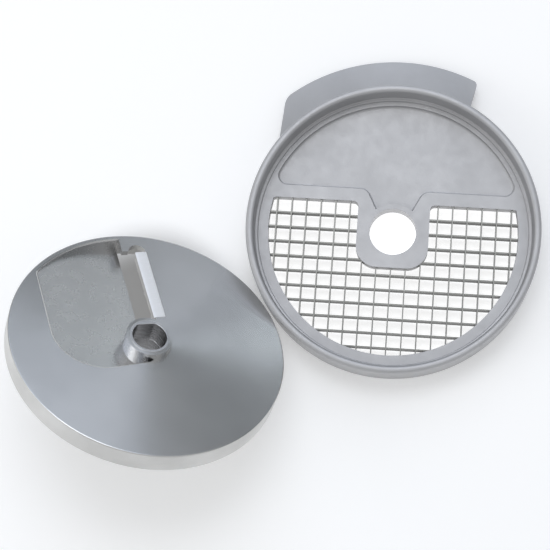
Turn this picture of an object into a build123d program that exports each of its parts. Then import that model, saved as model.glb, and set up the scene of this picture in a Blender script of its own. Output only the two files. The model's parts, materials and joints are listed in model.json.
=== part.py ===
"""Dicing kit of a food-preparation machine: a dicing grid and the slicing disc that runs in it.

The grid lies on its ring.  The slicing disc lies beside it, tilted, on the edge of its rim and on
the end of its hub.  In use the disc nests in the ring and its hub passes down through the grid.
"""
from build123d import *
import math
import os

# What the grid and the disc share
DISC_R = 95.0
DISC_CLEAR = 3.0          # between the disc's rim and the ring that it turns in
CAST_LAP = 1.0            # how far the parts of one casting run into each other
CUT_PAST = 1.0            # how far a cut runs past the surface that it opens
SAME = 0.01               # two heights or radii nearer than this are the same

# Dicing grid: cast ring, web and apron
RIM_WALL = 5.5
RING_R = DISC_R + DISC_CLEAR + RIM_WALL
RING_HEIGHT = 29.0
BASE_WALL = 11.0          # the ring's wall below the web
WEB_TOP = 12.0            # height of the web's upper face
WEB_THICK = 9.0
LEDGE_WIDTH = 2.5         # low step at the foot of the rim
LEDGE_HEIGHT = 2.0
RIM_ROUND = 2.3
PLATE_DEPTH = 3.0         # the half-moon plate lies below the bar
PLATE_R = RING_R - BASE_WALL
PLATE_CORNER = 7.0
BAR_WIDTH = 9.2           # bar between plate and opening
NECK_TOP_WIDTH = 41.0     # the plate reaches down towards the hole
NECK_END_WIDTH = 10.0     # its width, if it ran on to the hole's centre
NECK_CORNER = 4.0
NECK_END_CORNER = 1.0
RIDGE_R = 20.3            # wall round the hole
HOLE_R = 16.6
WEB_EDGE = 4.0            # between the opening and the wall
OPENING_R = PLATE_R - WEB_EDGE
OPENING_TOP = 20.8        # straight edge of the opening, above the hole's centre
OPENING_CORNER = 3.5
TONGUE_WIDTH = 51.0
TONGUE_REACH = 26.0       # below the hole's centre
TONGUE_CORNER = 15.0
APRON_REACH = 22.5
APRON_R = RING_R + APRON_REACH
APRON_ROOT_TOP = 21.0     # height of the apron where it leaves the ring
APRON_EDGE_TOP = 9.0      # height of its free edge
APRON_THICK = 4.0
APRON_START = 64.5        # degrees, at the free edge
APRON_END = 131.0
APRON_START_ROOT = 61.5   # degrees, at the ring
APRON_END_ROOT = 145.0

# Dicing blades
PITCH = 10.4
BLADE_THICK = 0.9
BLADE_HEIGHT = 8.0
BLADE_SINK = 1.0          # top of the blades below the web's upper face
BLADE_SEAT = 2.5          # each end's depth in the casting
SLOT_CLEAR = 0.1          # each side, in the casting's slots and the half-laps

# Slicing disc
DISC_RIM = 15.0           # height of the rim
DISC_WALL = 4.0
FACE_THICK = 4.0
EDGE_ROUND = 1.0
COLLAR_R = 16.0
COLLAR_HEIGHT = 5.0
COLLAR_GROOVE = 0.9
BOSS_R = 20.0
BOSS_DEPTH = 12.0         # the boss's lower end below the face
RIB_THICK = 4.0
RIB_DEPTH = 9.0
RIB_ANGLES = (-150, -112, -75, -40, -5, 32)
RAMP_R = DISC_R - DISC_WALL
RAMP_LEFT = -64.0
RAMP_CORNER = 38.0
RAMP_END_CORNER = 4.5
RAMP_FOOT = 16.5          # the ramp's lower edge, below the axis, beside the hub
RAMP_FALL = 6.8           # how much lower that edge is at the left corner
RAMP_START_DEPTH = 1.6
RAMP_DEPTH = 10.0         # at the slot: the thickness of a slice
RAMP_END = -0.5
RAMP_WALL = 3.0
SLOT_START = 18.5
SLOT_END = 80.0

# Slicing blade and its screws
EDGE_X = 9.0
KNIFE_WIDTH = 8.2
KNIFE_START = 20.0
KNIFE_END = 79.0
KNIFE_THICK = 2.5
KNIFE_OVERHANG = 1.5
KNIFE_BEVEL = 3.0
KNIFE_EDGE = 0.15         # thickness left at the ground edge
KNIFE_CLEAR = 0.1
CARRIER_DEPTH = 8.5
CARRIER_MARGIN = 2.0
ARCH_R = 6.2              # round end of the slot, past the knife
ARCH_SIDE = 1.55          # its centre, beside the knife's edge
SCREW_R = 2.0
SCREW_HEAD_R = 3.6
SCREW_HEAD = 2.4
SCREW_SOCKET = 1.7
SOCKET_DEPTH = 1.44
SCREW_SIDE = 0.5          # the screws' row, off the middle of the carrier, towards the slot
SCREW_BITE = 1.6          # how far a screw reaches into the knife
SCREW_PLACES = (29.0, 49.5, 70.0)

# Drive hub and bush
HUB_R = 15.0
HUB_TOP_R = 13.8          # outside of the bush
HUB_REACH = 58.0          # below the rim's lower edge
HUB_STAND = 0.4           # above the collar
BORE_R = 12.0
KEY_R = 11.8              # round part of the bush's bore
KEY_FLAT = 10.3           # from the axis to its flat
RELIEF_R = 12.4           # short round relief at the bush's lower end
RELIEF_LENGTH = 1.5
HUB_CHAMFER = 0.8
FIT = 0.05

# Where the disc lies beside the grid
AWAY = 211.3              # degrees, the way from the grid to the disc
APART = 0.8               # between the ring and the disc, as seen from above
LEAN_TOWARDS = 62.8       # degrees, the side on which the rim touches the table
SLOT_TURN = -45.6         # degrees, turn of the disc about its own axis


def ring(outer, inner, low, high):
    """A plain ring between two heights."""
    return Pos(0, 0, low) * extrude(Circle(outer) - Circle(inner), high - low)


def disc(radius, low, high):
    """A plain round disc between two heights."""
    return Pos(0, 0, low) * extrude(Circle(radius), high - low)


def block(x0, x1, y0, y1, z0, z1):
    """A box between two corners."""
    centre = Pos((x0 + x1) / 2, (y0 + y1) / 2, (z0 + z1) / 2)
    return centre * Box(x1 - x0, y1 - y0, z1 - z0)


def polar(radius, degrees):
    """A point on a circle about the origin."""
    angle = math.radians(degrees)
    return (radius * math.cos(angle), radius * math.sin(angle))


# ---------------------------------------------------------------- dicing grid

def tongue():
    """Plan of the tongue that carries the hole down into the opening."""
    height = OPENING_TOP + TONGUE_REACH
    plan = Pos(0, (OPENING_TOP - TONGUE_REACH) / 2) * Rectangle(TONGUE_WIDTH, height)
    return fillet(plan.vertices().group_by(Axis.Y)[0], TONGUE_CORNER)


def opening():
    """Plan of the opening that the blades cross."""
    below = Pos(0, OPENING_TOP - RING_R) * Rectangle(2 * RING_R, 2 * RING_R)
    plan = (Circle(OPENING_R) & below) - tongue()
    return fillet(plan.vertices().group_by(Axis.Y)[-1], OPENING_CORNER)


def plate():
    """Plan of the sunken half-moon plate, with its neck towards the hole."""
    low = OPENING_TOP + BAR_WIDTH
    above = Pos(0, low + RING_R) * Rectangle(2 * RING_R, 2 * RING_R)
    moon = Circle(PLATE_R) & above
    moon = fillet(moon.vertices().group_by(Axis.Y)[0], PLATE_CORNER)
    top, end = NECK_TOP_WIDTH / 2, NECK_END_WIDTH / 2
    neck = Polygon((-end, 0), (end, 0), (top, low), (top, low + NECK_CORNER),
                   (-top, low + NECK_CORNER), (-top, low), align=None)
    plan = (moon + neck) - Circle(RIDGE_R)
    at_top = [v for v in plan.vertices() if abs(v.Y - low) < SAME and abs(v.X) < top + SAME]
    plan = fillet(at_top, NECK_CORNER)
    at_end = [v for v in plan.vertices() if 0 < v.Y < RIDGE_R and abs(v.X) < RIDGE_R]
    return fillet(at_end, NECK_END_CORNER)


def apron():
    """The flared apron on one side of the ring."""
    root = RING_R - RIM_WALL / 2
    slope = [(root, APRON_ROOT_TOP), (root, APRON_ROOT_TOP - 2 * APRON_THICK),
             (APRON_R, APRON_EDGE_TOP - APRON_THICK), (APRON_R, APRON_EDGE_TOP)]
    shell = revolve(Plane.XZ * Polygon(*slope, align=None), Axis.Z)
    inside = RING_R - RIM_WALL
    past = 2 * APRON_R - RING_R
    reach = (past - inside) / (APRON_R - RING_R)
    start = APRON_START_ROOT + (APRON_START - APRON_START_ROOT) * reach
    end = APRON_END_ROOT + (APRON_END - APRON_END_ROOT) * reach
    outline = [polar(inside, APRON_START_ROOT), polar(past, start), (0, 2 * past),
               polar(past, end), polar(inside, APRON_END_ROOT)]
    return shell & extrude(Polygon(*outline, align=None), RING_HEIGHT)


def tongue_edge(x):
    """Lower edge of the tongue at a place across it."""
    flat = TONGUE_WIDTH / 2 - TONGUE_CORNER
    over = max(0.0, abs(x) - flat)
    return -TONGUE_REACH + TONGUE_CORNER - math.sqrt(TONGUE_CORNER ** 2 - over ** 2)


def chord(offset):
    """Half the width of the round opening at an offset from its middle."""
    return math.sqrt(OPENING_R ** 2 - offset ** 2)


def blade_runs():
    """The free run of each blade: its name, direction, offset and two ends."""
    runs = []
    count = int((OPENING_R - BLADE_SEAT) // PITCH)
    for i in range(-count, count + 1):
        x = i * PITCH
        top = OPENING_TOP if abs(x) > TONGUE_WIDTH / 2 else tongue_edge(x)
        runs.append((f"long_blade_{i + count + 1:02d}", "y", x, -chord(x), top))
    row = 0
    y = OPENING_TOP - PITCH
    while y > -OPENING_R + BLADE_SEAT:
        row += 1
        if y > -TONGUE_REACH:
            inner = tongue_side(y)
            runs.append((f"cross_blade_{row:02d}_left", "x", y, -chord(y), -inner))
            runs.append((f"cross_blade_{row:02d}_right", "x", y, inner, chord(y)))
        else:
            runs.append((f"cross_blade_{row:02d}", "x", y, -chord(y), chord(y)))
        y -= PITCH
    return runs


def tongue_side(y):
    """Half the tongue's width at a height beside the hole."""
    under = max(0.0, -TONGUE_REACH + TONGUE_CORNER - y)
    return TONGUE_WIDTH / 2 - TONGUE_CORNER + math.sqrt(TONGUE_CORNER ** 2 - under ** 2)


BLADE_TOP = WEB_TOP - BLADE_SINK
BLADE_LOW = BLADE_TOP - BLADE_HEIGHT
BLADE_MID = (BLADE_TOP + BLADE_LOW) / 2


def strip(direction, offset, start, end, thick, low, high):
    """A straight strip on edge, along X or along Y."""
    if direction == "y":
        return block(offset - thick / 2, offset + thick / 2, start, end, low, high)
    return block(start, end, offset - thick / 2, offset + thick / 2, low, high)


def dicing_blade(run, runs):
    """One blade, with a half-lap at each blade that it crosses."""
    name, direction, offset, start, end = run
    blade = strip(direction, offset, start - BLADE_SEAT, end + BLADE_SEAT,
                  BLADE_THICK, BLADE_LOW, BLADE_TOP)
    lap = BLADE_THICK + 2 * SLOT_CLEAR
    if direction == "y":
        low, high = BLADE_LOW - CUT_PAST, BLADE_MID + SLOT_CLEAR / 2
    else:
        low, high = BLADE_MID - SLOT_CLEAR / 2, BLADE_TOP + CUT_PAST
    notches = []
    for other, way, place, first, last in runs:
        crosses = start - BLADE_SEAT < place < end + BLADE_SEAT
        if way != direction and crosses and first - BLADE_SEAT < offset < last + BLADE_SEAT:
            notches.append(strip(way, place, offset - lap, offset + lap, lap, low, high))
    return blade - notches if notches else blade


def grid_frame(runs):
    """The casting: ring, web, ledge, plate, tongue, boss and apron, with slots for the blades."""
    inner = RING_R - RIM_WALL
    body = ring(RING_R, inner, 0, RING_HEIGHT)
    body += ring(RING_R, RING_R - BASE_WALL, 0, WEB_TOP)
    lapped = inner + CAST_LAP
    body += ring(lapped, inner - LEDGE_WIDTH, WEB_TOP - CAST_LAP, WEB_TOP + LEDGE_HEIGHT)
    web = (Circle(lapped) - opening()) - Circle(HOLE_R)
    body += Pos(0, 0, WEB_TOP - WEB_THICK) * extrude(web, WEB_THICK)
    body += ring(RIDGE_R, HOLE_R, 0, WEB_TOP)
    body += apron()
    body -= disc(inner, WEB_TOP + LEDGE_HEIGHT, RING_HEIGHT + CUT_PAST)
    body -= Pos(0, 0, WEB_TOP - PLATE_DEPTH) * extrude(plate(), PLATE_DEPTH + LEDGE_HEIGHT / 2)
    top = body.edges().filter_by(GeomType.CIRCLE).filter_by(
        lambda e: abs(e.center().Z - RING_HEIGHT) < SAME)
    body = fillet(top, RIM_ROUND)
    seats = []
    for _, direction, offset, start, end in runs:
        for place in (start, end):
            seats.append(strip(direction, offset, place - BLADE_SEAT - SLOT_CLEAR,
                               place + BLADE_SEAT + SLOT_CLEAR, BLADE_THICK + 2 * SLOT_CLEAR,
                               BLADE_LOW - CUT_PAST, BLADE_TOP))
    return body - seats


# --------------------------------------------------------------- slicing disc

def ramp_plan():
    """Plan of the ramp: a straight edge under the hub, a wide curve, and the rim's arc."""
    corner_y = -RAMP_FOOT - RAMP_FALL
    outline = Polygon((RAMP_END, -RAMP_FOOT), (RAMP_END, DISC_R), (RAMP_LEFT, DISC_R),
                      (RAMP_LEFT, corner_y), align=None)
    wide = outline.vertices().sort_by(lambda v: v.X + v.Y)[0]
    plan = fillet(wide, RAMP_CORNER) & Circle(RAMP_R)
    start = plan.vertices().sort_by(lambda v: v.X - v.Y)[0]
    return fillet(start, RAMP_END_CORNER)


def ramp_wedge(drop):
    """Everything above the ramp's sloping floor, moved down by a wall's thickness."""
    left = RAMP_LEFT - 2 * RAMP_WALL
    slope = (RAMP_DEPTH - RAMP_START_DEPTH) / (RAMP_END - RAMP_LEFT)
    start = -RAMP_START_DEPTH + slope * (RAMP_LEFT - left)
    end = RAMP_END + RAMP_WALL
    profile = Polygon((left, start - drop), (end, -RAMP_DEPTH - slope * RAMP_WALL - drop),
                      (end, DISC_RIM), (left, DISC_RIM), align=None)
    return extrude(Plane.XZ * profile, DISC_R, both=True)


def slicing_disc():
    """The casting: face, rim, ramp, slot, collar, boss, ribs and the seat of the knife."""
    inner = DISC_R - DISC_WALL
    body = disc(DISC_R, -FACE_THICK, 0)
    body += ring(DISC_R, inner, -DISC_RIM, 0)
    ribs = []
    for angle in RIB_ANGLES:
        rib = block(BOSS_R - 2 * CAST_LAP, inner + CAST_LAP, -RIB_THICK / 2, RIB_THICK / 2,
                    -RIB_DEPTH, -CAST_LAP)
        ribs.append(Rot(0, 0, angle) * rib)
    body += ribs
    body += disc(BOSS_R, -BOSS_DEPTH, 0)

    wide = offset(ramp_plan(), RAMP_WALL) & Circle(inner + CAST_LAP)
    under = Pos(0, 0, -DISC_RIM) * extrude(wide, DISC_RIM - CAST_LAP)
    body += under & ramp_wedge(RAMP_WALL)
    knife_right = EDGE_X + KNIFE_WIDTH
    body += block(EDGE_X + KNIFE_OVERHANG, knife_right + CARRIER_MARGIN,
                  SLOT_START, KNIFE_END, -CARRIER_DEPTH, -CAST_LAP)

    through = DISC_RIM + CUT_PAST
    recess = Pos(0, 0, -DISC_RIM) * extrude(ramp_plan() - Circle(COLLAR_R), through)
    body -= recess & ramp_wedge(0)
    body += disc(COLLAR_R, -CAST_LAP, COLLAR_HEIGHT)
    body -= block(RAMP_END, EDGE_X + KNIFE_OVERHANG, SLOT_START, SLOT_END, -DISC_RIM, CUT_PAST)
    arch = Circle(ARCH_R) & (Pos(0, ARCH_R) * Rectangle(2 * ARCH_R, 2 * ARCH_R))
    body -= Pos(EDGE_X + ARCH_SIDE, KNIFE_END + KNIFE_CLEAR, -DISC_RIM) * extrude(arch, through)
    body -= block(EDGE_X, knife_right + KNIFE_CLEAR, KNIFE_START - KNIFE_CLEAR,
                  KNIFE_END + KNIFE_CLEAR, -KNIFE_THICK, CUT_PAST)
    body -= disc(HUB_TOP_R + FIT, -DISC_RIM, COLLAR_HEIGHT + CUT_PAST)
    body -= disc(HUB_R + FIT, -through, -BOSS_DEPTH)
    for y in SCREW_PLACES:
        body -= Pos(screw_x(), y, -CARRIER_DEPTH) * Cylinder(SCREW_R + SLOT_CLEAR, 3 * CARRIER_DEPTH)

    rim_top = [e for e in body.edges().filter_by(GeomType.CIRCLE)
               if abs(e.radius - DISC_R) < SAME and abs(e.center().Z) < SAME]
    body = fillet(rim_top, EDGE_ROUND)
    mouth = [e for e in body.edges().filter_by(GeomType.CIRCLE)
             if abs(e.radius - HUB_TOP_R - FIT) < SAME and e.center().Z > COLLAR_HEIGHT - SAME]
    return chamfer(mouth, COLLAR_GROOVE)


def screw_x():
    """Place of the row of screws across the slot."""
    return EDGE_X + (KNIFE_OVERHANG + KNIFE_WIDTH + CARRIER_MARGIN) / 2 - SCREW_SIDE


def slicing_blade():
    """The knife: a flat strip, ground from below to its edge."""
    right = EDGE_X + KNIFE_WIDTH
    profile = Polygon((EDGE_X, 0), (EDGE_X, -KNIFE_EDGE), (EDGE_X + KNIFE_BEVEL, -KNIFE_THICK),
                      (right, -KNIFE_THICK), (right, 0), align=None)
    knife = Pos(0, KNIFE_END, 0) * extrude(Plane.XZ * profile, KNIFE_END - KNIFE_START)
    for y in SCREW_PLACES:
        hole = Cylinder(SCREW_R + FIT, 2 * (SCREW_BITE + FIT))
        knife -= Pos(screw_x(), y, -KNIFE_THICK) * hole
    return knife


def blade_screws():
    """Socket screws that hold the knife from below."""
    screws = []
    for y in SCREW_PLACES:
        tip = -KNIFE_THICK + SCREW_BITE
        shank = disc(SCREW_R, -CARRIER_DEPTH, tip)
        head = disc(SCREW_HEAD_R, -CARRIER_DEPTH - SCREW_HEAD, -CARRIER_DEPTH)
        socket = Pos(0, 0, -CARRIER_DEPTH - SCREW_HEAD) * extrude(
            RegularPolygon(SCREW_SOCKET, 6), SOCKET_DEPTH)
        screws.append(Pos(screw_x(), y, 0) * (shank + head - socket))
    return screws


def drive_hub():
    """The tube that fits over the motor's shaft, pressed up against the boss."""
    low = -DISC_RIM - HUB_REACH
    tube = disc(HUB_R, low, -BOSS_DEPTH)
    ends = [e for e in tube.edges().filter_by(GeomType.CIRCLE) if e.center().Z < low + SAME]
    return chamfer(ends, HUB_CHAMFER) - disc(BORE_R, low - CUT_PAST, CUT_PAST)


def drive_bush():
    """The bush in the casting, above the tube: the flat in its bore takes the drive."""
    top = COLLAR_HEIGHT + HUB_STAND
    bush = disc(HUB_TOP_R, -BOSS_DEPTH, top)
    ends = [e for e in bush.edges().filter_by(GeomType.CIRCLE) if e.center().Z > top - SAME]
    bush = chamfer(ends, HUB_CHAMFER)
    below_flat = Pos(0, KEY_FLAT - KEY_R) * Rectangle(2 * KEY_R, 2 * KEY_R)
    bush -= Pos(0, 0, -BOSS_DEPTH) * extrude(Circle(KEY_R) & below_flat, BOSS_DEPTH + top + CUT_PAST)
    return bush - disc(RELIEF_R, -BOSS_DEPTH - CUT_PAST, -BOSS_DEPTH + RELIEF_LENGTH)


def laid_down():
    """Where the disc lies: tilted until its rim and its hub's end both touch the table."""
    tilt = math.atan2(HUB_REACH, DISC_R - HUB_R)
    face = DISC_R * math.sin(tilt) + DISC_RIM * math.cos(tilt)
    aside = math.radians(AWAY - 180 - LEAN_TOWARDS)
    reach = DISC_R * math.hypot(math.cos(tilt) * math.cos(aside), math.sin(aside))
    x, y = polar(RING_R + reach + APART, AWAY)
    turn = Rot(0, 0, LEAN_TOWARDS) * Rot(0, math.degrees(tilt), 0) * Rot(0, 0, SLOT_TURN)
    return Pos(x, y, face) * turn


def write(pieces):
    """Moves the kit over the middle of its own footprint and writes one file for each piece."""
    boxes = [s.bounding_box() for solids in pieces.values() for s in solids]
    left, right = min(b.min.X for b in boxes), max(b.max.X for b in boxes)
    front, back = min(b.min.Y for b in boxes), max(b.max.Y for b in boxes)
    centre = Pos(-(left + right) / 2, -(front + back) / 2, -min(b.min.Z for b in boxes))
    os.makedirs("parts", exist_ok=True)
    for name, solids in pieces.items():
        moved = [centre * s for s in solids]
        export_step(moved[0] if len(moved) == 1 else Compound(children=moved),
                    f"parts/{name}.step")
    return centre


def main():
    runs = blade_runs()
    pieces = {"grid_frame": grid_frame(runs).solids()}
    for run in runs:
        pieces[run[0]] = dicing_blade(run, runs).solids()
    lie = laid_down()
    disc_pieces = {"slicing_disc": slicing_disc().solids(), "drive_hub": drive_hub().solids(),
                   "drive_bush": drive_bush().solids(),
                   "slicing_blade": slicing_blade().solids(),
                   "blade_screws": [s for screw in blade_screws() for s in screw.solids()]}
    for name, solids in disc_pieces.items():
        pieces[name] = [lie * s for s in solids]
    centre = write(pieces)
    axis = centre * lie
    print("grid centre", centre.position, "disc centre", axis.position,
          "disc turn", axis.orientation)


main()
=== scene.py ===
import json
import math
import bpy
from mathutils import Matrix, Vector

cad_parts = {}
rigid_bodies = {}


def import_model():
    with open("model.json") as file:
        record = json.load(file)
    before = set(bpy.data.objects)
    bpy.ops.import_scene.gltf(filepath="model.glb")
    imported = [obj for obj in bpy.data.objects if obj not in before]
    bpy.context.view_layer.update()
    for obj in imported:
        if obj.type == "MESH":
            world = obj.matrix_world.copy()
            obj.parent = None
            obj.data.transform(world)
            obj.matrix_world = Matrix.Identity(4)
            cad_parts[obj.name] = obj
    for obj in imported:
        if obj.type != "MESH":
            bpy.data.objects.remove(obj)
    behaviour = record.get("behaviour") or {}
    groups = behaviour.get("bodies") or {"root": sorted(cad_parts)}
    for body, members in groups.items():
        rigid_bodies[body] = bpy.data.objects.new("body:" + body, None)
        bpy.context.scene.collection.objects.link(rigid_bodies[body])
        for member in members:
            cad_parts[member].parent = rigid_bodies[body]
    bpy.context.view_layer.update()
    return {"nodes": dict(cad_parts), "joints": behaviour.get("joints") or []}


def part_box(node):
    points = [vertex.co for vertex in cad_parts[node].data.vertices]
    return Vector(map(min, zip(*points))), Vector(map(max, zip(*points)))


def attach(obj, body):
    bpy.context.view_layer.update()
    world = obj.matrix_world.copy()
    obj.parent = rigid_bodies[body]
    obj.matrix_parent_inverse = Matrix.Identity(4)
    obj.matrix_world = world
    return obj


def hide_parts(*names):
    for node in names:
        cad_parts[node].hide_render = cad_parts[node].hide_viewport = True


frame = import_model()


# The camera looks down from almost overhead, through a long lens.
MM = 0.001
ring_low, ring_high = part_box("grid_frame")
RING_R = 103.5 * MM
ring_centre = Vector(((ring_low.x + ring_high.x) / 2, ring_low.y + RING_R, 0))
UNDER_DISC = (-0.095, -0.040, 0)
TABLE_SIZE = 8.0
# The table's emission outside the ring, and the stronger emission inside it, which is painted light.
TABLE_GLOW, TABLE_PAINTED_LIGHT_IN_RING = 0.22, 0.75
SKY_STRENGTH = 0.72
LENS = 118
CAMERA_PLACE = (7.8, -270.8, 1262.9)
CAMERA_TURN = (10.86, 3.29, 4.11)


def rest():
    """Leaves edit mode and deselects everything."""
    if bpy.context.object and bpy.context.object.mode != "OBJECT":
        bpy.ops.object.mode_set(mode="OBJECT")
    bpy.ops.object.select_all(action="DESELECT")


def lamp(name, place, aim, size, power, tint=(1, 1, 1)):
    """A large soft rectangular lamp."""
    bpy.ops.object.light_add(type="AREA", location=place)
    made = bpy.context.object
    made.name = name
    made.data.shape = "RECTANGLE"
    made.data.size, made.data.size_y = size
    made.data.energy = power
    made.data.color = tint
    made.rotation_euler = (Vector(aim) - Vector(place)).to_track_quat("-Z", "Y").to_euler()


rest()
bpy.ops.mesh.primitive_plane_add(size=TABLE_SIZE)
table = bpy.context.object
table.name = "table_top"
table_paint = bpy.data.materials.new("pale_table")
table_paint.use_nodes = True
table_shader = table_paint.node_tree.nodes["Principled BSDF"]
table_shader.inputs["Roughness"].default_value = 0.8
table_shader.inputs["Specular IOR Level"].default_value = 0.2
table_shader.inputs["Emission Color"].default_value = (1.0, 1.0, 1.0, 1)
table_nodes, table_links = table_paint.node_tree.nodes, table_paint.node_tree.links
# The table glows more inside the ring than outside it: painted light on the floor under the grid.
from_ring = table_nodes.new("ShaderNodeVectorMath")
from_ring.operation = "DISTANCE"
from_ring.inputs[1].default_value = ring_centre
table_links.new(table_nodes.new("ShaderNodeTexCoord").outputs["Object"], from_ring.inputs[0])
ring_painted_light = table_nodes.new("ShaderNodeMapRange")
ring_painted_light.inputs["From Min"].default_value, ring_painted_light.inputs["From Max"].default_value = RING_R, RING_R - 12 * MM
ring_painted_light.inputs["To Min"].default_value, ring_painted_light.inputs["To Max"].default_value = TABLE_GLOW, TABLE_PAINTED_LIGHT_IN_RING
table_links.new(from_ring.outputs["Value"], ring_painted_light.inputs["Value"])
table_links.new(ring_painted_light.outputs["Result"], table_shader.inputs["Emission Strength"])
# The table's colour darkens towards the point under the disc: a painted shadow.
from_disc = table_nodes.new("ShaderNodeVectorMath")
from_disc.operation = "DISTANCE"
from_disc.inputs[1].default_value = UNDER_DISC
table_links.new(table_nodes.new("ShaderNodeTexCoord").outputs["Object"], from_disc.inputs[0])
shade_under = table_nodes.new("ShaderNodeMapRange")
shade_under.interpolation_type = "SMOOTHSTEP"
shade_under.inputs["From Min"].default_value, shade_under.inputs["From Max"].default_value = 35 * MM, 75 * MM
shade_under.inputs["To Min"].default_value, shade_under.inputs["To Max"].default_value = 0.10, 0.90
table_links.new(from_disc.outputs["Value"], shade_under.inputs["Value"])
table_links.new(shade_under.outputs["Result"], table_shader.inputs["Base Color"])
table.data.materials.append(table_paint)

sky = bpy.data.worlds.new("studio_sky")
sky.use_nodes = True
sky_nodes, sky_links = sky.node_tree.nodes, sky.node_tree.links
sky_way = sky_nodes.new("ShaderNodeTexCoord").outputs["Generated"]


def sky_share(towards, start, end):
    """How far a direction of the sky leans towards another, as a share from 0 to 1."""
    lean = sky_nodes.new("ShaderNodeVectorMath")
    lean.operation = "DOT_PRODUCT"
    lean.inputs[1].default_value = towards
    sky_links.new(sky_way, lean.inputs[0])
    share = sky_nodes.new("ShaderNodeMapRange")
    share.interpolation_type = "SMOOTHSTEP"
    share.inputs["From Min"].default_value, share.inputs["From Max"].default_value = start, end
    sky_links.new(lean.outputs["Value"], share.inputs["Value"])
    return share.outputs["Result"]


far_wall = sky_nodes.new("ShaderNodeMath")
far_wall.operation = "MULTIPLY"
sky_links.new(sky_share((0.30, 0.95, 0), -0.05, 0.45), far_wall.inputs[0])
sky_links.new(sky_share((0, 0, -1), -0.62, -0.32), far_wall.inputs[1])
softbox = sky_nodes.new("ShaderNodeMath")
softbox.operation = "MULTIPLY"
sky_links.new(sky_share((-0.899, 0.150, 0.410), -0.01, 0.02), softbox.inputs[0])
sky_links.new(sky_share((0.04, 0.68, 0.73), 0.80, 0.93), softbox.inputs[1])


def sky_mix(share, under, over):
    """One sky colour laid over another where the share is 1."""
    mix = sky_nodes.new("ShaderNodeMix")
    mix.data_type = "RGBA"
    sky_links.new(share.outputs["Value"], mix.inputs["Factor"])
    for socket, colour in (("A", under), ("B", over)):
        if isinstance(colour, tuple):
            mix.inputs[socket].default_value = colour
        else:
            sky_links.new(colour, mix.inputs[socket])
    return mix.outputs["Result"]


walls = sky_mix(far_wall, (0.78, 0.79, 0.80, 1), (0.38, 0.405, 0.43, 1))
sky_links.new(sky_mix(softbox, walls, (1.5, 1.62, 1.84, 1)), sky_nodes["Background"].inputs["Color"])
sky_nodes["Background"].inputs["Strength"].default_value = SKY_STRENGTH
bpy.context.scene.world = sky
bpy.context.scene.view_settings.view_transform = "Standard"
lamp("lamp_over", (-0.1, 0.6, 1.7), (0, 0, 0), (1.0, 0.7), 5)
lamp("lamp_left", (-1.4, -0.3, 0.8), (0, 0, 0), (0.8, 0.8), 4)
lamp("lamp_far", (1.05, 2.3, 0.42), (0, 0, 0.05), (0.35, 0.22), 0.35, (0.85, 0.95, 1.0))

bpy.ops.object.camera_add()
camera = bpy.context.object
camera.data.lens = LENS
camera.data.sensor_width = 36
camera.location = ring_centre + Vector(CAMERA_PLACE) * MM
camera.rotation_euler = [math.radians(a) for a in CAMERA_TURN]
camera.data.clip_start, camera.data.clip_end = 0.05, 20
bpy.context.scene.camera = camera


# ---- Dicing grid: the casting -----------------------------------------------------------------
# One aluminium casting, shot-blasted to a matte grey: a round-edged ring, a web with a sunken
# half-moon plate, and a tongue that carries the hole. The apron flares out on one side.
RIM_WALL = 5.5 * MM
RING_HEIGHT = 29 * MM
BASE_WALL = 11 * MM
WEB_TOP = 12 * MM
WEB_THICK = 9 * MM
LEDGE_WIDTH = 2.5 * MM
LEDGE_HEIGHT = 2 * MM
PLATE_R = 92.5 * MM
PLATE_DEPTH = 3 * MM
OPENING_R = 88.5 * MM
OPENING_TOP = 20.8 * MM
BAR = 9.2 * MM
TONGUE_WIDTH = 51 * MM
TONGUE_REACH = 26 * MM
RIDGE_R = 20.3 * MM
HOLE_R = 16.6 * MM
ROUND_STEPS = 192
RIM_ROUND = 2.3 * MM
PLATE_CORNER = 7 * MM
NECK_TOP = 20.5 * MM
NECK_END = 5 * MM
NECK_CORNER = 4 * MM
PLATE_EDGE_ROUND = 1.7 * MM
TONGUE_CORNER = 15 * MM
OPENING_CORNER = 3.5 * MM
CASTING_ROUND = 0.7 * MM


def pick(piece, kind, test):
    """Goes into edit mode with only those faces, or edges that aren't flat, that pass the test."""
    rest()
    piece.select_set(True)
    bpy.context.view_layer.objects.active = piece
    mesh = piece.data
    for part in (*mesh.vertices, *mesh.edges, *mesh.polygons):
        part.select = False
    if kind == "FACE":
        for face in mesh.polygons:
            face.select = test(face.center, face.normal)
    else:
        beside = {}
        for face in mesh.polygons:
            for key in face.edge_keys:
                beside.setdefault(key, []).append(face.normal)
        for edge in mesh.edges:
            a, b = (mesh.vertices[i].co for i in edge.vertices)
            flat = all(n.dot(beside[edge.key][0]) > 0.97 for n in beside[edge.key])
            edge.select = not flat and test((a + b) / 2, (b - a).normalized())
    bpy.context.tool_settings.mesh_select_mode = (False, kind == "EDGE", kind == "FACE")
    bpy.ops.object.mode_set(mode="EDIT")


def soften(piece, width, steps, test):
    """Rounds the edges whose middle and direction pass the test."""
    pick(piece, "EDGE", test)
    bpy.ops.mesh.bevel(offset=width, segments=steps, affect="EDGES", clamp_overlap=False)
    rest()


def soften_sharp(piece, width, steps, angle=35):
    """Rounds every edge that is still sharp."""
    pick(piece, "EDGE", lambda middle, way: False)
    bpy.ops.mesh.edges_select_sharp(sharpness=math.radians(angle))
    bpy.ops.mesh.bevel(offset=width, segments=steps, affect="EDGES", clamp_overlap=True)
    rest()


def drum(radius, low, high, steps=ROUND_STEPS):
    """A round blank between two heights."""
    rest()
    bpy.ops.mesh.primitive_cylinder_add(vertices=steps, radius=radius, depth=high - low,
                                        location=(0, 0, (low + high) / 2))
    bpy.ops.object.transform_apply()
    return bpy.context.object


def brick(corner, opposite):
    """A square-edged blank between two corners."""
    rest()
    corner, opposite = Vector(corner), Vector(opposite)
    bpy.ops.mesh.primitive_cube_add(size=1, location=(corner + opposite) / 2)
    made = bpy.context.object
    made.scale = opposite - corner
    bpy.ops.object.transform_apply()
    return made


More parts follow.
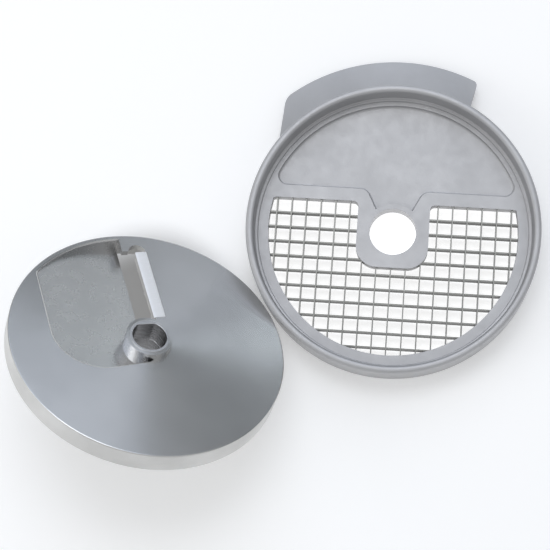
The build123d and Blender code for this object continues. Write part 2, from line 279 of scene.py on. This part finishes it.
def work(piece, tool, operation):
    """Cuts the tool from the piece, or joins it on, and puts the tool away."""
    rest()
    piece.select_set(True)
    bpy.context.view_layer.objects.active = piece
    bpy.ops.object.modifier_add(type="BOOLEAN")
    step = piece.modifiers[-1]
    step.operation, step.object, step.solver = operation, tool, "EXACT"
    bpy.ops.object.modifier_apply(modifier=step.name)
    bpy.data.objects.remove(tool)


def trim(piece, point, normal):
    """Cuts away what lies beyond a plane and closes the cut."""
    pick(piece, "FACE", lambda middle, way: True)
    bpy.ops.mesh.bisect(plane_co=point, plane_no=normal, use_fill=True, clear_outer=True)
    rest()


def sink(thickness, depth):
    """Insets the selected face and moves the inner one along Z."""
    if thickness:
        bpy.ops.mesh.inset(thickness=thickness)
    bpy.ops.mesh.extrude_region_move(TRANSFORM_OT_translate={"value": (0, 0, depth)})


def corner_at(*places):
    """A test for upright edges at those places in plan."""
    return lambda m, way: abs(way.z) > 0.9 and any(math.dist((m.x, m.y), p) < 0.4 * MM for p in places)


def hoop_at(height):
    """A test for the edges of hoops at that height."""
    return lambda m, way: abs(m.z - height) < 0.05 * MM and abs(way.dot(m)) < 0.3 * m.xy.length


casting = drum(RING_R, 0, RING_HEIGHT)
casting.name = "ring_casting"
pick(casting, "FACE", lambda middle, way: way.z > 0.9)
sink(RIM_WALL, -(RING_HEIGHT - WEB_TOP - LEDGE_HEIGHT))
sink(LEDGE_WIDTH, -LEDGE_HEIGHT)
pick(casting, "FACE", lambda middle, way: way.z < -0.9)
sink(BASE_WALL, WEB_TOP - WEB_THICK)
soften(casting, RIM_ROUND, 6, hoop_at(RING_HEIGHT))
soften(casting, 1.0 * MM, 3, hoop_at(0))
soften(casting, 0.9 * MM, 3, hoop_at(WEB_TOP + LEDGE_HEIGHT))
work(casting, drum(RIDGE_R, 0, WEB_TOP - 1 * MM), "UNION")

plate_low = OPENING_TOP + BAR
plate_floor = WEB_TOP - PLATE_DEPTH
moon = drum(PLATE_R, -40 * MM, 40 * MM)
trim(moon, (0, plate_low, 0), (0, -1, 0))
corner_y = plate_low + PLATE_CORNER
corner_x = math.sqrt((PLATE_R - PLATE_CORNER) ** 2 - corner_y ** 2)
corner_sweep = math.pi / 2 + math.atan2(corner_y, corner_x)
for side in (-1, 1):
    for cut in range(8):
        turn = (cut + 0.5) / 8 * corner_sweep - math.pi / 2
        way = Vector((side * math.cos(turn), math.sin(turn), 0))
        trim(moon, Vector((side * corner_x, corner_y, 0)) + PLATE_CORNER * way, way)

neck = brick((-NECK_TOP, 0, -41 * MM), (NECK_TOP, plate_low, 41 * MM))
for point in neck.data.vertices:
    if point.co.y < MM:
        point.co.x = math.copysign(NECK_END, point.co.x)
pick(neck, "FACE", lambda middle, way: way.y > 0.9)
bpy.ops.mesh.extrude_region_move(TRANSFORM_OT_translate={"value": (0, 4 * MM, 0)})
rest()
work(moon, neck, "UNION")
work(moon, brick((-RING_R, -RING_R, plate_floor), (RING_R, RING_R, WEB_TOP + 1 * MM)), "INTERSECT")
soften(moon, NECK_CORNER, 8, corner_at((NECK_TOP, plate_low), (-NECK_TOP, plate_low)))
soften(moon, PLATE_EDGE_ROUND, 5, lambda m, way: m.z < plate_floor + 0.05 * MM and abs(way.z) < 0.1)
work(moon, drum(RIDGE_R, 0, RING_HEIGHT), "DIFFERENCE")
work(casting, moon, "DIFFERENCE")

cutter = drum(OPENING_R, -5 * MM, 35 * MM)
trim(cutter, (0, OPENING_TOP, 0), (0, 1, 0))
tongue = brick((-TONGUE_WIDTH / 2, -TONGUE_REACH, -9 * MM), (TONGUE_WIDTH / 2, 40 * MM, 40 * MM))
foot = TONGUE_WIDTH / 2
soften(tongue, TONGUE_CORNER, 14, corner_at((foot, -TONGUE_REACH), (-foot, -TONGUE_REACH)))
work(cutter, tongue, "DIFFERENCE")
chord = math.sqrt(OPENING_R ** 2 - OPENING_TOP ** 2)
tops = [(x, OPENING_TOP) for x in (-chord, -foot, foot, chord)]
soften(cutter, OPENING_CORNER, 5, corner_at(*tops))
work(casting, cutter, "DIFFERENCE")
work(casting, drum(HOLE_R, -6 * MM, 36 * MM, 128), "DIFFERENCE")

APRON_R = 126 * MM
APRON_TOP = 21 * MM
APRON_EDGE = 9 * MM
APRON_THICK = 4 * MM
APRON_STEPS = 56
APRON_BLANK_START = 55
APRON_BLANK_SWEEP = 95
APRON_CURL = 2.2 * MM


def on_round(radius, degrees):
    """The point at that radius and angle on the floor."""
    turn = math.radians(degrees)
    return Vector((radius * math.cos(turn), radius * math.sin(turn), 0))


# The apron is one cast sheet. Its section starts upright against the ring and curls outwards.
rest()
bpy.ops.mesh.primitive_plane_add(size=1)
apron = bpy.context.object
apron.rotation_euler = (math.radians(90), 0, 0)
bpy.ops.object.transform_apply()
flare = (RING_R - RIM_WALL / 2, APRON_R)
for corner in apron.data.vertices:
    outer = corner.co.x > 0
    top = corner.co.z > 0
    thick = APRON_THICK if outer else 2 * APRON_THICK
    corner.co = (flare[outer], 0, (APRON_EDGE if outer else APRON_TOP) - (0 if top else thick))
start_turn = Matrix.Rotation(math.radians(APRON_BLANK_START), 4, "Z")
apron.data.transform(start_turn)
pick(apron, "FACE", lambda middle, way: True)
bpy.ops.mesh.subdivide(number_cuts=5)
bpy.ops.mesh.spin(steps=APRON_STEPS, angle=-math.radians(APRON_BLANK_SWEEP), center=(0, 0, 0), axis=(0, 0, 1))
bpy.ops.mesh.select_all(action="SELECT")
bpy.ops.mesh.remove_doubles(threshold=0.01 * MM)
bpy.ops.mesh.normals_make_consistent(inside=False)
rest()
for point in apron.data.vertices:
    radius = math.hypot(point.co.x, point.co.y)
    share = max(0.0, min(1.0, (radius - RING_R) / (APRON_R - RING_R)))
    point.co.z += APRON_CURL * ((1 - share) ** 2 - (1 - share))


def apron_end(root, edge, side, rounding):
    """Cuts one slanting end of the apron and rounds its outer corner with a few more cuts."""
    a, b = on_round(RING_R, root), on_round(APRON_R, edge)
    along = (b - a).normalized()
    aside = Vector((along.y, -along.x, 0)) * side
    trim(apron, a, aside)
    out = on_round(1, edge)
    middle = b - rounding * (out + aside) / (1 + out.dot(aside))
    for share in (0.2, 0.4, 0.6, 0.8):
        way = (out * (1 - share) + aside * share).normalized()
        trim(apron, middle + rounding * way, way)


apron_end(61.5, 64.5, 1, 4 * MM)
apron_end(145.0, 131.0, -1, 12 * MM)
work(casting, apron, "UNION")
soften_sharp(casting, CASTING_ROUND, 3)


def finish_shape(piece, angle=35):
    """Recalculates the normals and smooths the rounded faces; the flat faces stay flat."""
    pick(piece, "FACE", lambda middle, way: True)
    bpy.ops.mesh.remove_doubles(threshold=0.005 * MM)
    bpy.ops.mesh.normals_make_consistent(inside=False)
    rest()
    piece.select_set(True)
    bpy.context.view_layer.objects.active = piece
    bpy.ops.object.shade_smooth_by_angle(angle=math.radians(angle))
    bpy.ops.object.modifier_add(type="WEIGHTED_NORMAL")
    piece.modifiers[-1].keep_sharp = True
    piece.modifiers[-1].weight = 100
    bpy.ops.object.modifier_apply(modifier=piece.modifiers[-1].name)


finish_shape(casting)


def settle(piece, place):
    """Carries a piece from the bench to its place; the place goes into its mesh."""
    piece.data.transform(place)
    piece.data.update()


settle(casting, Matrix.Translation(ring_centre))


def new_finish(name):
    """An empty material with its nodes, its links and its shader."""
    made = bpy.data.materials.new(name)
    made.use_nodes = True
    tree = made.node_tree
    return made, tree.nodes, tree.links, tree.nodes["Principled BSDF"]


def grain(nodes, links, scale, detail=3.0, source=None):
    """A noise in object space."""
    if source is None:
        source = nodes.new("ShaderNodeTexCoord").outputs["Object"]
    noise = nodes.new("ShaderNodeTexNoise")
    noise.inputs["Scale"].default_value = scale
    noise.inputs["Detail"].default_value = detail
    links.new(source, noise.inputs["Vector"])
    return noise.outputs["Fac"]


def ramp(nodes, links, source, low, high):
    """Turns a value into a shade between two colours."""
    made = nodes.new("ShaderNodeValToRGB")
    made.color_ramp.elements[0].position, made.color_ramp.elements[1].position = 0.3, 0.7
    made.color_ramp.elements[0].color = (*low, 1)
    made.color_ramp.elements[1].color = (*high, 1)
    links.new(source, made.inputs["Fac"])
    return made.outputs["Color"]


def spread(nodes, links, source, low, high):
    """Turns a value from 0 to 1 into one between two numbers."""
    made = nodes.new("ShaderNodeMapRange")
    made.inputs["To Min"].default_value, made.inputs["To Max"].default_value = low, high
    links.new(source, made.inputs["Value"])
    return made.outputs["Result"]


def bump(nodes, links, shader, source, depth, strength=1.0, before=None):
    """A fine relief on the surface; depth is in metres."""
    made = nodes.new("ShaderNodeBump")
    made.inputs["Distance"].default_value = depth
    made.inputs["Strength"].default_value = strength
    links.new(source, made.inputs["Height"])
    if before is not None:
        links.new(before, made.inputs["Normal"])
    links.new(made.outputs["Normal"], shader.inputs["Normal"])
    return made.outputs["Normal"]


# Shot-blasted aluminium: fine pits, a faint cloudiness, no direct mirror.
blasted, nodes, links, shader = new_finish("blasted_aluminium")
links.new(ramp(nodes, links, grain(nodes, links, 22, 4), (0.45, 0.45, 0.46), (0.51, 0.51, 0.52)),
          shader.inputs["Base Color"])
shader.inputs["Metallic"].default_value = 0.6
links.new(spread(nodes, links, grain(nodes, links, 150, 3), 0.42, 0.58), shader.inputs["Roughness"])
pits = bump(nodes, links, shader, grain(nodes, links, 1600, 2), 0.00006, 0.5)
bump(nodes, links, shader, grain(nodes, links, 90, 3), 0.0003, 0.35, pits)
casting.data.materials.append(blasted)
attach(casting, "grid")
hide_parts("grid_frame")


# ---- Dicing blades ----------------------------------------------------------------------------
# Thirty-one stainless strips on edge, half-lapped where they cross, with both ends in slots in the
# casting. Their flanks are rougher and their upper edges smoother; the flanks are painted dark as
# shade and the upper edges painted lighter as a highlight.
strip_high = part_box("cross_blade_05")[1]
strip_steel, nodes, links, shader = new_finish("strip_steel")
where = nodes.new("ShaderNodeTexCoord")
axes = nodes.new("ShaderNodeSeparateXYZ")
links.new(where.outputs["Object"], axes.inputs["Vector"])
# A band along the upper edge: painted lighter as a highlight over flanks painted dark as shade; it also makes
# the edge less rough.
edge = nodes.new("ShaderNodeMapRange")
edge.inputs["From Min"].default_value = strip_high.z - 0.9 * MM
edge.inputs["From Max"].default_value = strip_high.z - 0.3 * MM
links.new(axes.outputs["Z"], edge.inputs["Value"])
shade = nodes.new("ShaderNodeMix")
shade.data_type = "RGBA"
shade.inputs["B"].default_value = (0.20, 0.20, 0.19, 1)
links.new(edge.outputs["Result"], shade.inputs["Factor"])
links.new(ramp(nodes, links, grain(nodes, links, 260, 4), (0.06, 0.06, 0.055), (0.10, 0.10, 0.095)),
          shade.inputs["A"])
links.new(shade.outputs["Result"], shader.inputs["Base Color"])
shader.inputs["Metallic"].default_value = 0.9
links.new(spread(nodes, links, edge.outputs["Result"], 0.42, 0.30), shader.inputs["Roughness"])
bump(nodes, links, shader, grain(nodes, links, 2200, 2), 0.00003, 0.5)
for name, node in frame["nodes"].items():
    if name.startswith(("long_blade", "cross_blade")):
        node.data.materials.clear()
        node.data.materials.append(strip_steel)


# ---- Slicing disc: the casting ----------------------------------------------------------------
# A round aluminium casting, turned and polished on its face. A ramp sinks from the face towards the
# slot, where its depth is the thickness of a slice. Ribs and a boss stiffen it from below.
DISC_R = 95 * MM
DISC_RIM = 15 * MM
DISC_WALL = 4 * MM
FACE_THICK = 4 * MM
COLLAR_R = 16 * MM
COLLAR_HEIGHT = 5 * MM
HUB_TOP_R = 13.8 * MM
HUB_R = 15 * MM
BOSS_R = 20 * MM
BOSS_DEPTH = 12 * MM
RAMP_R = 91 * MM
RAMP_LEFT = -64 * MM
RAMP_END = -0.5 * MM
RAMP_FOOT = 16.5 * MM
RAMP_FALL = 6.8 * MM
RAMP_START = 1.6 * MM
RAMP_DEPTH = 10 * MM
RAMP_WALL = 3 * MM
SLOT_START = 18.5 * MM
SLOT_END = 80 * MM
EDGE_X = 9 * MM
KNIFE_WIDTH = 8.2 * MM
KNIFE_START = 20 * MM
KNIFE_END = 79 * MM
KNIFE_THICK = 2.5 * MM
KNIFE_OVERHANG = 1.5 * MM
CARRIER_DEPTH = 8.5 * MM
CARRIER_MARGIN = 2 * MM
ARCH_R = 6.2 * MM
RIB_ANGLES = (-150, -112, -75, -40, -5, 32)
RIB_THICK = 4 * MM
RIB_DEPTH = 9 * MM
RAMP_CORNER = 38 * MM
TIP_ROUND = 4.5 * MM
RAMP_LIP = 1.3 * MM

spin = next(joint for joint in frame["joints"] if joint["name"] == "disc_spin")
disc_axis = Vector(spin["axis"]).normalized()
disc_centre = Vector(spin["pos_m"])
knife_low, knife_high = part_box("slicing_blade")
towards_knife = (knife_low + knife_high) / 2 - disc_centre
towards_knife -= disc_axis * towards_knife.dot(disc_axis)
knife_turn = math.atan2(EDGE_X + KNIFE_WIDTH / 2, (KNIFE_START + KNIFE_END) / 2)
slot_way = Matrix.Rotation(knife_turn, 3, disc_axis) @ towards_knife.normalized()
across_way = slot_way.cross(disc_axis)
disc_turn = Matrix((across_way, slot_way, disc_axis)).transposed()
disc_place = Matrix.Translation(disc_centre) @ disc_turn.to_4x4()


def facet(piece):
    """Splits every face into triangles, so that a cut finds only flat faces."""
    pick(piece, "FACE", lambda middle, way: True)
    bpy.ops.mesh.quads_convert_to_tris()
    rest()


def ramp_blank(drop, grow, top):
    """The space over the ramp's sloping floor, in plan a straight foot, a wide curve and the rim."""
    foot_left = -RAMP_FOOT - RAMP_FALL - grow
    floor = -RAMP_DEPTH - drop
    start = -RAMP_START - drop
    blank = brick((RAMP_LEFT - grow, foot_left, floor), (RAMP_END, DISC_R, top))
    for point in blank.data.vertices:
        if point.co.x > RAMP_LEFT and point.co.y < 0:
            point.co.y = -RAMP_FOOT - grow
        if point.co.x < RAMP_END - MM and point.co.z < 0:
            point.co.z = start
    blank.data.update()
    soften(blank, RAMP_CORNER + grow, 24, corner_at((RAMP_LEFT - grow, foot_left)))
    facet(blank)
    work(blank, drum(RAMP_R + grow, floor - MM, top + MM, 256), "INTERSECT")
    return blank


disc = drum(DISC_R, -DISC_RIM, 0, 256)
disc.name = "disc_casting"
pick(disc, "FACE", lambda middle, way: way.z < -0.9)
sink(DISC_WALL, DISC_RIM - FACE_THICK)
for angle in RIB_ANGLES:
    rib = brick((BOSS_R - 2 * MM, -RIB_THICK / 2, -RIB_DEPTH), (DISC_R - DISC_WALL + MM, RIB_THICK / 2, -MM))
    rib.data.transform(Matrix.Rotation(math.radians(angle), 4, "Z"))
    work(disc, rib, "UNION")
work(disc, drum(BOSS_R, -BOSS_DEPTH, -MM, 96), "UNION")
under = ramp_blank(RAMP_WALL, RAMP_WALL - 0.05 * MM, -MM)
work(disc, under, "UNION")
carrier = brick((EDGE_X + KNIFE_OVERHANG, SLOT_START, -CARRIER_DEPTH),
                (EDGE_X + KNIFE_WIDTH + CARRIER_MARGIN, KNIFE_END, -MM))
work(disc, carrier, "UNION")
face_edge = lambda m, way: m.z > -0.01 * MM and m.length > DISC_R - MM and abs(way.dot(m)) < 0.03
soften(disc, 1.0 * MM, 4, face_edge)

hollow = ramp_blank(0, 0, MM)
# Its far corner is rounded with flat cuts, and it runs a little past the blank below it.
tip_x = RAMP_LEFT + TIP_ROUND
tip_y = math.sqrt((RAMP_R - TIP_ROUND) ** 2 - tip_x ** 2)
tip_sweep = math.pi - math.atan2(tip_y, tip_x)
for cut in range(6):
    turn = math.pi - tip_sweep * (cut + 0.5) / 6
    way = Vector((math.cos(turn), math.sin(turn), 0))
    trim(hollow, Vector((tip_x, tip_y, 0)) + TIP_ROUND * way, way)
for point in hollow.data.vertices:
    if point.co.x > RAMP_END - 0.01 * MM:
        point.co.x += 0.4 * MM
hollow.data.update()
facet(hollow)
work(hollow, drum(COLLAR_R - 0.6 * MM, -DISC_RIM, 2 * MM, 96), "DIFFERENCE")
work(disc, hollow, "DIFFERENCE")
lip = lambda m, way: (m.z > -0.05 * MM and COLLAR_R + MM < m.xy.length < RAMP_R + MM
                      and m.x < RAMP_END - 0.2 * MM)
soften(disc, RAMP_LIP, 5, lip)
work(disc, drum(COLLAR_R, -RAMP_DEPTH, COLLAR_HEIGHT, 96), "UNION")
slot = brick((RAMP_END - 0.05 * MM, SLOT_START, -2 * DISC_RIM),
             (EDGE_X + KNIFE_OVERHANG, SLOT_END, 2 * MM))
work(disc, slot, "DIFFERENCE")
arch = drum(ARCH_R, -2 * DISC_RIM, 2 * MM, 48)
trim(arch, (0, 0, 0), (0, -1, 0))
settle(arch, Matrix.Translation((EDGE_X + ARCH_R / 4, KNIFE_END + 0.1 * MM, 0)))
work(disc, arch, "DIFFERENCE")
seat = brick((EDGE_X, KNIFE_START - 0.1 * MM, -KNIFE_THICK),
             (EDGE_X + KNIFE_WIDTH + 0.1 * MM, KNIFE_END + 0.1 * MM, MM))
work(disc, seat, "DIFFERENCE")
work(disc, drum(HUB_TOP_R + 0.05 * MM, -2 * DISC_RIM, 9 * MM, 96), "DIFFERENCE")
soften_sharp(disc, 0.45 * MM, 3)
finish_shape(disc)
settle(disc, disc_place)


def disc_space(nodes, links):
    """Coordinates in the disc's own space: X across the slot, Y along it, Z along the axis."""
    where = nodes.new("ShaderNodeTexCoord")
    to_disc = nodes.new("ShaderNodeMapping")
    to_disc.vector_type = "TEXTURE"
    to_disc.inputs["Location"].default_value = disc_centre
    to_disc.inputs["Rotation"].default_value = disc_turn.to_euler()
    links.new(where.outputs["Object"], to_disc.inputs["Vector"])
    return to_disc.outputs["Vector"]


def arithmetic(nodes, links, operation, *values):
    """One step of arithmetic on values or numbers."""
    made = nodes.new("ShaderNodeMath")
    made.operation = operation
    for socket, value in zip(made.inputs, values):
        if isinstance(value, (int, float)):
            socket.default_value = value
        else:
            links.new(value, socket)
    return made.outputs["Value"]


def vector_step(nodes, links, operation, *values):
    """One step of vector arithmetic on vectors."""
    made = nodes.new("ShaderNodeVectorMath")
    made.operation = operation
    for socket, value in zip(made.inputs, values):
        if isinstance(value, bpy.types.NodeSocket):
            links.new(value, socket)
        else:
            socket.default_value = value
    return made.outputs["Vector"]


def from_axis(nodes, links, shader):
    """Turning marks run round the disc's axis, so they spread light along its radii."""
    where = nodes.new("ShaderNodeTexCoord").outputs["Object"]
    out = vector_step(nodes, links, "SUBTRACT", where, disc_centre)
    to_world = nodes.new("ShaderNodeVectorTransform")
    to_world.convert_from, to_world.convert_to = "OBJECT", "WORLD"
    links.new(vector_step(nodes, links, "NORMALIZE", out), to_world.inputs["Vector"])
    links.new(to_world.outputs["Vector"], shader.inputs["Tangent"])


# Turned and polished aluminium: rings of tool marks about the axis and a grain that spreads the
# lamps into spokes.
turned, nodes, links, shader = new_finish("turned_aluminium")
local = disc_space(nodes, links)
parts = nodes.new("ShaderNodeSeparateXYZ")
links.new(local, parts.inputs["Vector"])
x2 = arithmetic(nodes, links, "MULTIPLY", parts.outputs["X"], parts.outputs["X"])
y2 = arithmetic(nodes, links, "MULTIPLY", parts.outputs["Y"], parts.outputs["Y"])
radius = arithmetic(nodes, links, "SQRT", arithmetic(nodes, links, "ADD", x2, y2))
rings = nodes.new("ShaderNodeTexNoise")
rings.noise_dimensions = "1D"
rings.inputs["Scale"].default_value = 1400
rings.inputs["Detail"].default_value = 3
links.new(radius, rings.inputs["W"])
links.new(ramp(nodes, links, grain(nodes, links, 18, 4, local), (0.58, 0.582, 0.58), (0.67, 0.672, 0.67)),
          shader.inputs["Base Color"])
shader.inputs["Metallic"].default_value = 1.0
shader.inputs["Anisotropic"].default_value = 0.85
links.new(spread(nodes, links, rings.outputs["Fac"], 0.16, 0.26), shader.inputs["Roughness"])
from_axis(nodes, links, shader)
disc.data.materials.append(turned)

# The ramp is buffed by hand almost to a mirror, and the rim and the underside stay as cast.
buffed, nodes, links, shader = new_finish("buffed_aluminium")
links.new(ramp(nodes, links, grain(nodes, links, 30, 4), (0.58, 0.58, 0.58), (0.64, 0.64, 0.64)),
          shader.inputs["Base Color"])
shader.inputs["Metallic"].default_value = 1.0
links.new(spread(nodes, links, grain(nodes, links, 120, 4), 0.24, 0.30), shader.inputs["Roughness"])
disc.data.materials.append(buffed)
as_cast, nodes, links, shader = new_finish("satin_aluminium")
links.new(ramp(nodes, links, grain(nodes, links, 35, 4), (0.62, 0.615, 0.60), (0.72, 0.715, 0.70)),
          shader.inputs["Base Color"])
shader.inputs["Metallic"].default_value = 0.7
links.new(spread(nodes, links, grain(nodes, links, 200, 3), 0.42, 0.55), shader.inputs["Roughness"])
bump(nodes, links, shader, grain(nodes, links, 1500, 2), 0.00005, 0.5)
disc.data.materials.append(as_cast)
from_world = disc_place.inverted()
for face in disc.data.polygons:
    spot = from_world @ face.center
    way = from_world.to_3x3() @ face.normal
    out = math.hypot(spot.x, spot.y)
    on_face = spot.z > -0.3 * MM and way.z > 0.5
    in_ramp = RAMP_LEFT - MM < spot.x < EDGE_X and spot.y > -24 * MM and spot.z > -RAMP_DEPTH - 2 * MM
    if on_face:
        face.material_index = 0
    elif in_ramp and out < RAMP_R + MM and (way.z > 0.2 or spot.z > -RAMP_DEPTH):
        face.material_index = 1
    else:
        face.material_index = 2
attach(disc, "disc")
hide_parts("slicing_disc")


# ---- Slicing disc: hub and drive bush ---------------------------------------------------------
# The hub is a turned steel tube, pressed up against the boss from below. The bush sits above it in
# the casting; its bore has one flat, by which the motor's shaft drives the disc.
HUB_LOW = -73 * MM
HUB_STAND = 0.4 * MM
BORE_R = 12 * MM
KEY_R = 11.8 * MM
KEY_FLAT = 10.3 * MM
RELIEF_R = 12.4 * MM
RELIEF_LENGTH = 1.5 * MM
sleeve = drum(HUB_R, HUB_LOW, -BOSS_DEPTH, 96)
sleeve.name = "hub_sleeve"
work(sleeve, drum(BORE_R, 2 * HUB_LOW, -HUB_LOW, 96), "DIFFERENCE")
soften_sharp(sleeve, 0.6 * MM, 4)
bush = drum(HUB_TOP_R, -BOSS_DEPTH, COLLAR_HEIGHT + HUB_STAND, 96)
bush.name = "drive_bush_steel"
key = drum(KEY_R, HUB_LOW, -HUB_LOW, 96)
trim(key, (0, KEY_FLAT, 0), (0, 1, 0))
flat_end = math.sqrt(KEY_R ** 2 - KEY_FLAT ** 2)
soften(key, 0.8 * MM, 3, corner_at((flat_end, KEY_FLAT), (-flat_end, KEY_FLAT)))
work(bush, key, "DIFFERENCE")
work(bush, drum(RELIEF_R, HUB_LOW, RELIEF_LENGTH - BOSS_DEPTH, 96), "DIFFERENCE")
soften_sharp(bush, 0.6 * MM, 4)
hub_steel, nodes, links, shader = new_finish("hub_steel")
local = disc_space(nodes, links)
stretched = nodes.new("ShaderNodeMapping")
stretched.inputs["Scale"].default_value = (60, 60, 2500)
links.new(local, stretched.inputs["Vector"])
marks = grain(nodes, links, 1, 3, stretched.outputs["Vector"])
links.new(ramp(nodes, links, marks, (0.60, 0.60, 0.61), (0.74, 0.74, 0.75)), shader.inputs["Base Color"])
shader.inputs["Metallic"].default_value = 1.0
links.new(spread(nodes, links, marks, 0.20, 0.34), shader.inputs["Roughness"])
bump(nodes, links, shader, marks, 0.00002, 0.5)
for made, node in ((sleeve, "drive_hub"), (bush, "drive_bush")):
    finish_shape(made)
    settle(made, disc_place)
    made.data.materials.append(hub_steel)
    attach(made, "disc")
    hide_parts(node)


# ---- Slicing disc: the knife and its screws ---------------------------------------------------
# A straight knife of ground stainless steel lies in its seat beside the slot, with its edge towards
# the ramp. Three socket screws hold it from below.
knife = brick((EDGE_X, KNIFE_START, -KNIFE_THICK), (EDGE_X + KNIFE_WIDTH, KNIFE_END, 0))
knife.name = "ground_knife"
at_edge = lambda m, way: abs(way.y) > 0.9 and m.x < EDGE_X + 0.1 * MM and m.z < -MM
pick(knife, "EDGE", at_edge)
bpy.ops.transform.translate(value=(3 * MM, 0, 0))
pick(knife, "FACE", lambda middle, way: True)
bpy.ops.mesh.bisect(plane_co=(EDGE_X + 2.4 * MM, 0, 0), plane_no=(1, 0, 0))
pick(knife, "EDGE", lambda m, way: abs(way.y) > 0.9 and m.x < EDGE_X + 0.1 * MM)
bpy.ops.transform.translate(value=(0, 0, -0.45 * MM))
soften_sharp(knife, 0.12 * MM, 2, 20)
finish_shape(knife, 20)
settle(knife, disc_place)
knife_steel, nodes, links, shader = new_finish("knife_steel")
local = disc_space(nodes, links)
stretched = nodes.new("ShaderNodeMapping")
stretched.inputs["Scale"].default_value = (90, 3000, 90)
links.new(local, stretched.inputs["Vector"])
marks = grain(nodes, links, 1, 3, stretched.outputs["Vector"])
links.new(ramp(nodes, links, marks, (0.88, 0.88, 0.88), (0.95, 0.95, 0.95)), shader.inputs["Base Color"])
shader.inputs["Metallic"].default_value = 0.75
links.new(spread(nodes, links, marks, 0.34, 0.46), shader.inputs["Roughness"])
bump(nodes, links, shader, marks, 0.00001, 0.5)
knife.data.materials.append(knife_steel)
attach(knife, "disc")
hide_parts("slicing_blade")

SCREW_PLACES = (29 * MM, 49.5 * MM, 70 * MM)
SCREW_X = EDGE_X + KNIFE_OVERHANG + (KNIFE_WIDTH - KNIFE_OVERHANG + CARRIER_MARGIN) / 2 - 0.5 * MM
SCREW_HEAD_R = 3.6 * MM
SCREW_HEAD = 2.4 * MM
screw = drum(SCREW_HEAD_R, -CARRIER_DEPTH - SCREW_HEAD, -CARRIER_DEPTH, 36)
screw.name = "socket_screws"
pick(screw, "FACE", lambda middle, way: way.z > 0.9)
sink(SCREW_HEAD_R - 2 * MM, CARRIER_DEPTH - KNIFE_THICK + 1.6 * MM)
rest()
socket = drum(1.7 * MM, -CARRIER_DEPTH - 2 * SCREW_HEAD, -CARRIER_DEPTH - 1.0 * MM, 6)
work(screw, socket, "DIFFERENCE")
soften_sharp(screw, 0.25 * MM, 3)
finish_shape(screw)
settle(screw, Matrix.Translation((SCREW_X, SCREW_PLACES[0], 0)))
for place in SCREW_PLACES[1:]:
    rest()
    screw.select_set(True)
    bpy.context.view_layer.objects.active = screw
    bpy.ops.object.duplicate()
    copy = bpy.context.object
    settle(copy, Matrix.Translation((0, place - SCREW_PLACES[0], 0)))
rest()
for made in [o for o in bpy.data.objects if o.name.startswith("socket_screws")]:
    made.select_set(True)
bpy.context.view_layer.objects.active = screw
bpy.ops.object.join()
settle(screw, disc_place)
screw_steel, nodes, links, shader = new_finish("screw_steel")
links.new(ramp(nodes, links, grain(nodes, links, 400, 3), (0.50, 0.50, 0.51), (0.64, 0.64, 0.65)),
          shader.inputs["Base Color"])
shader.inputs["Metallic"].default_value = 1.0
links.new(spread(nodes, links, grain(nodes, links, 900, 2), 0.28, 0.42), shader.inputs["Roughness"])
screw.data.materials.append(screw_steel)
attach(screw, "disc")
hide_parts("blade_screws")
